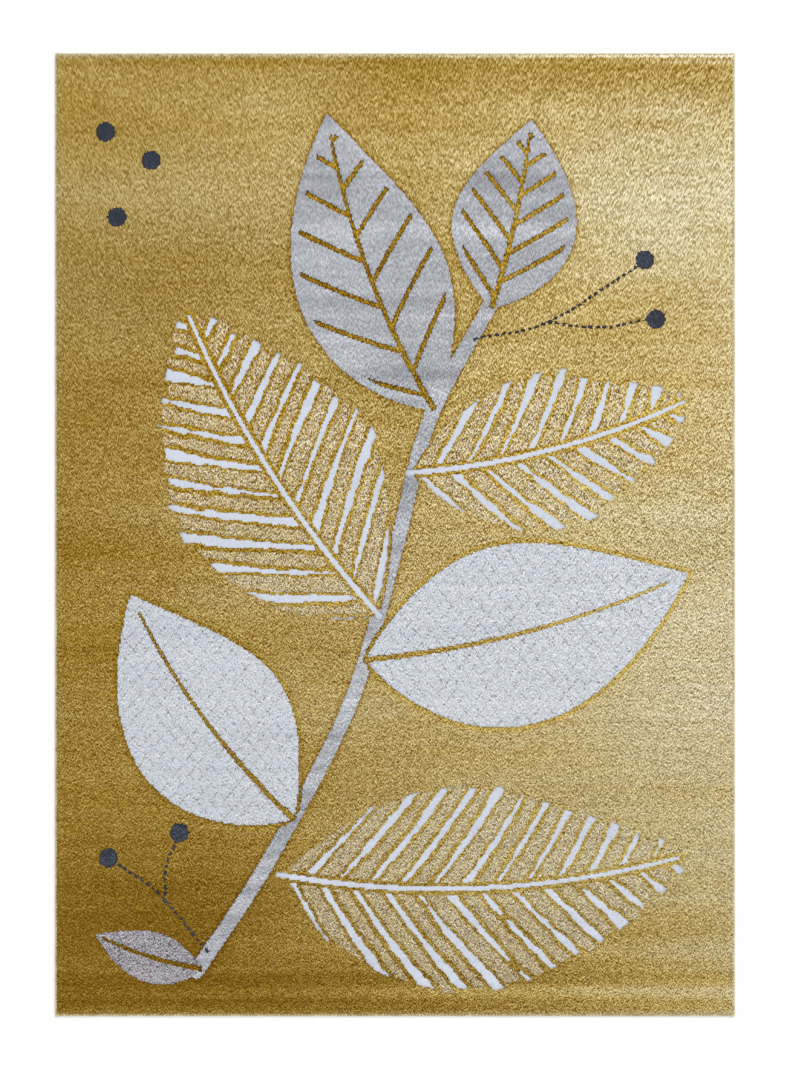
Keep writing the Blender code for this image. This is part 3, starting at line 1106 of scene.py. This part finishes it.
winding = dict(
    pitch=0.0060,            # from one wrap to the next
    parts=4,                 # faces along each wrap
    slant=0.0035,            # how far a wrap leans along the edge from underside to top
    slantFrom=0.012,         # how far from the ends of an edging it leans fully
    swell=0.00028,           # half the height of a wrap
    swellFall=1.6,           # how much of it is lost at the wrap's sides
    tightness=(0.65, 1.0),   # least and most of a wrap's swell
    rounding=0.0016,         # of the outer side
    shoulder=0.0009,         # of the inner side: its width and depth,
    shoulderDrop=0.0002,     # and how far its upper point is below the top
    ridgeAt=0.30,            # share of the width at which the inner ridge is
    grooveAt=0.50,           # and the groove beside it
    groove=0.0004,           # depth of that groove
    inset=0.0001,            # of the inner side
    slot=(0.0012, 0.0038),   # underside and top of the slot for the selvedge
    wall=0.0012,             # thickness outside the slot
    outerPoints=11,          # points of the profile that come before the slot
    sharp=75,                # degrees from which an edge looks sharp
    mapRows=8,               # rows in which the long strip is laid on its map
    rowFill=0.96,            # share of its height that such a row fills
    mapHeight=0.99,          # of all the rows
    capPlace=0.995,          # of the end caps on the map, both ways
    capSize=0.004,
)


def edgingProfile(width, height):
    # Across the edge and up, counter-clockwise, and the way that a wrap swells at each point: flat underside,
    # round outer side, two low ridges, round inner side, and the slot, which doesn't swell.
    swell, rounding, shoulder, inner = (winding[n] for n in ("swell", "rounding", "shoulder", "inset"))
    outer, top = width - swell, height - swell
    cut = rounding * (1 - math.sqrt(0.5))
    slotEnd = width - winding["wall"]
    slotLow, slotHigh = winding["slot"]
    points = np.array([
        (inner, swell, 0, -1),
        (outer - rounding, swell, 0, -1),
        (outer - cut, swell + cut, 0.7, -0.7),
        (outer, swell + rounding, 1, 0),
        (outer, top - rounding, 1, 0),
        (outer - cut, top - cut, 0.7, 0.7),
        (outer - rounding, top, 0, 1),
        (winding["grooveAt"] * width, top - winding["groove"], 0, 1),
        (winding["ridgeAt"] * width, top, 0, 1),
        (shoulder, top - winding["shoulderDrop"], -0.5, 0.8),
        (inner, top - shoulder, -0.6, 0.4),
        (inner, slotHigh, 0, 0),
        (slotEnd, slotHigh, 0, 0),
        (slotEnd, slotLow, 0, 0),
        (inner, slotLow, 0, 0),
    ])
    return points[:, :2], points[:, 2:]


def woundEdging(name, node, outwardX, outwardY, look, seed):
    # place = start + a along + out outward + up upward. out and up are the profile's, moved by swell ridge the
    # way it swells. ridge = tightness (1 - swellFall (2 phase - 1)^2) within a wrap, and -tightness between two.
    # a = the way passed + slant (1/2 - the share of the profile passed), which fades at the ends of the edging
    # and is left out in the slot.
    low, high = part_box(node)
    length = (high[1] - low[1]) if outwardX else (high[0] - low[0])
    width = (high[0] - low[0]) if outwardX else (high[1] - low[1])
    profile, swelling = edgingProfile(width, high[2] - low[2])
    outward = np.array([outwardX, outwardY, 0.0])
    upward = np.array((0, 0, 1.0))
    along = np.cross((0, 0, 1), outward)
    inner = np.array([low[0] if outwardX > 0 else high[0], low[1] if outwardY > 0 else high[1], 0.0])
    middle = np.array([(low[0] + high[0]) / 2, (low[1] + high[1]) / 2, 0.0])
    start = np.where(outward != 0, inner, middle) - along * length / 2
    wraps = round(length / winding["pitch"] / winding["mapRows"]) * winding["mapRows"]
    count = wraps * winding["parts"]
    draw = np.random.default_rng(seed)
    tightness = draw.uniform(*winding["tightness"], wraps + 1)
    tint = draw.normal(0, 1, wraps + 1)
    index = np.arange(count + 1)
    wrap = index // winding["parts"]
    phase = index % winding["parts"] / winding["parts"]
    ridge = np.where(phase == 0, -1.0, 1 - winding["swellFall"] * (2 * phase - 1) ** 2) * tightness[wrap]
    share = index / count
    points = len(profile)
    last = winding["outerPoints"] - 1
    fade = eased(np.minimum(share, 1 - share) * length / winding["slantFrom"])
    climb = np.cumsum(np.hypot(*np.diff(profile, axis=0, prepend=profile[:1]).T))
    lag = np.where(np.arange(points) > last, 0, winding["slant"] * (0.5 - climb / climb[last]))
    a = share[:, None] * length + fade[:, None] * lag
    swelled = profile + winding["swell"] * ridge[:, None, None] * swelling
    places = start + a[..., None] * along + swelled[..., :1] * outward + swelled[..., 1:] * upward
    quads = ringQuads(count + 1, points)[:, (0, 3, 2, 1)]
    caps = np.concatenate([np.arange(points), count * points + np.arange(points)[::-1]])
    made = makeMesh(name, places.reshape(-1, 3), quads, caps, (points, points))
    addAttribute(made, "ridge", "POINT", np.repeat(ridge, points))
    addAttribute(made, "tint", "FACE", np.concatenate([np.repeat(tint[wrap[:-1]], points), [0, 0]]))
    addMap(made, "OFBake", edgingMap(count, points))
    return finishPiece(made, "edging_yarn", look, [node], winding["sharp"])


def edgingMap(count, points):
    # The long strip is laid on the map in rows, and the two end caps get a small corner.
    perRow = count // winding["mapRows"]
    i, k = np.meshgrid(np.arange(count), np.arange(points), indexing="ij")
    row, column = i // perRow, i % perRow
    u = np.stack([column, column + 1, column + 1, column], axis=-1) / perRow
    v = row[..., None] + np.stack([k, k, k + 1, k + 1], axis=-1) / points * winding["rowFill"]
    strip = np.stack([u, v / winding["mapRows"] * winding["mapHeight"]], axis=-1).reshape(-1, 2)
    angle = np.arange(points) / points * 2 * math.pi
    cap = winding["capPlace"] + winding["capSize"] * np.column_stack([np.cos(angle), np.sin(angle)])
    return np.vstack([strip, cap, cap[::-1]])


edgingYarn = dict(
    ridge=0.16,              # strengths in the level: of the wraps' height, which paints shade in the valleys, of each wrap's own tint,
    tint=0.05,
    fibre=0.35,              # of the fibres, and of the patches
    patch=0.3,
    fibreScale=700,
    fibreDetail=3.0,
    patchScale=26,
    patchDetail=1.0,
    roughness=0.72,
    fibreRoughness=0.2,
    bump=(0.6, 0.0004),      # strength and distance
    stops=((0.12, 104, 84, 42), (0.38, 165, 146, 96), (0.60, 206, 191, 148), (0.90, 240, 230, 202)),
)


def edgingMaterial():
    # level = 0.5 + ridge + tint + fibre + patch, each by its strength: the valleys between wraps are painted dark
    # as shade, and the crests lighter.
    made, shader, start = newMaterial("edging yarn", {"Sheen Weight": 0.15, "Specular IOR Level": 0.25})
    place = objectPlace(start)
    fibre = noiseAt(place, edgingYarn["fibreScale"], edgingYarn["fibreDetail"])
    patch = noiseAt(place, edgingYarn["patchScale"], edgingYarn["patchDetail"])
    level = 0.5 + attribute(start, "ridge") * edgingYarn["ridge"]
    level = level + attribute(start, "tint") * edgingYarn["tint"]
    level = level + (fibre - 0.5) * edgingYarn["fibre"] + (patch - 0.5) * edgingYarn["patch"]
    link(shader, "Base Color", colourRamp(level, edgingYarn["stops"]))
    link(shader, "Roughness", edgingYarn["roughness"] + (fibre - 0.5) * edgingYarn["fibreRoughness"])
    linkBump(shader, *edgingYarn["bump"], fibre)
    return made


edgingLook = edgingMaterial()
edgings = [
    woundEdging(name, node, outwardX, outwardY, edgingLook, seed)
    for seed, (name, node, outwardX, outwardY) in enumerate((
        ("sideEdgingLeft", "side_overlock_left", -1, 0),
        ("sideEdgingRight", "side_overlock_right", 1, 0),
        ("endEdgingFoot", "end_overlock_foot", 0, -1),
        ("endEdgingHead", "end_overlock_head", 0, 1),
    ))
]
print("backing and edgings:", [(piece.name, len(piece.data.polygons)) for piece in [backingPiece, *edgings]])

# Floor, light and camera

studio = dict(
    floorSize=60.0,
    floorDrop=0.0002,
    floorColour=(0.96, 0.96, 0.96, 1),
    skyStrength=0.84,
    keyStrength=0.30,        # brightness that the key light alone gives a level white surface
    keyAway=12.0,
    keyHeight=50,            # degrees above the floor
    keySide=50,              # degrees round from +X towards +Y
    keySize=8.0,
    lens=90,
    sensor=36,
    frameHeight=1.887,       # of the whole picture, on the floor
    aim=(0.0, 0.0013),
)


def studioFloor():
    # One square face, a little below the rug.
    half = studio["floorSize"] / 2
    z = -studio["floorDrop"]
    places = np.array([(-half, -half, z), (half, -half, z), (half, half, z), (-half, half, z)])
    made = makeMesh("floor", places, np.array([[0, 1, 2, 3]]))
    constants = {"Base Color": studio["floorColour"], "Roughness": 0.9, "Specular IOR Level": 0.1}
    made.data.materials.append(newMaterial("pale floor", constants)[0])


def studioLight():
    # A softbox: irradiance E = P cos / (pi r^2) makes a white surface send back E / pi.
    height, side = math.radians(studio["keyHeight"]), math.radians(studio["keySide"])
    direction = np.array([
        math.cos(height) * math.cos(side), math.cos(height) * math.sin(side), math.sin(height)
    ])
    data = bpy.data.lights.new("key", "AREA")
    data.shape = "DISK"
    data.size = studio["keySize"]
    data.energy = studio["keyStrength"] * math.pi**2 * studio["keyAway"]**2 / math.sin(height)
    lamp = newObject("key", data)
    lamp.location = direction * studio["keyAway"]
    lamp.rotation_euler = (math.pi / 2 - height, 0, side + math.pi / 2)
    world = bpy.data.worlds.new("studio")
    world.use_nodes = True
    world.node_tree.nodes["Background"].inputs["Color"].default_value = (1, 1, 1, 1)
    world.node_tree.nodes["Background"].inputs["Strength"].default_value = studio["skyStrength"]
    bpy.context.scene.world = world


def studioCamera():
    # Straight above: away / frame height = lens / sensor.
    data = bpy.data.cameras.new("camera")
    data.lens = studio["lens"]
    data.sensor_width = studio["sensor"]
    camera = newObject("camera", data)
    camera.location = (*studio["aim"], studio["frameHeight"] * studio["lens"] / studio["sensor"])
    bpy.context.scene.camera = camera


studioFloor()
studioLight()
studioCamera()
bpy.context.scene.view_settings.view_transform = "Standard"
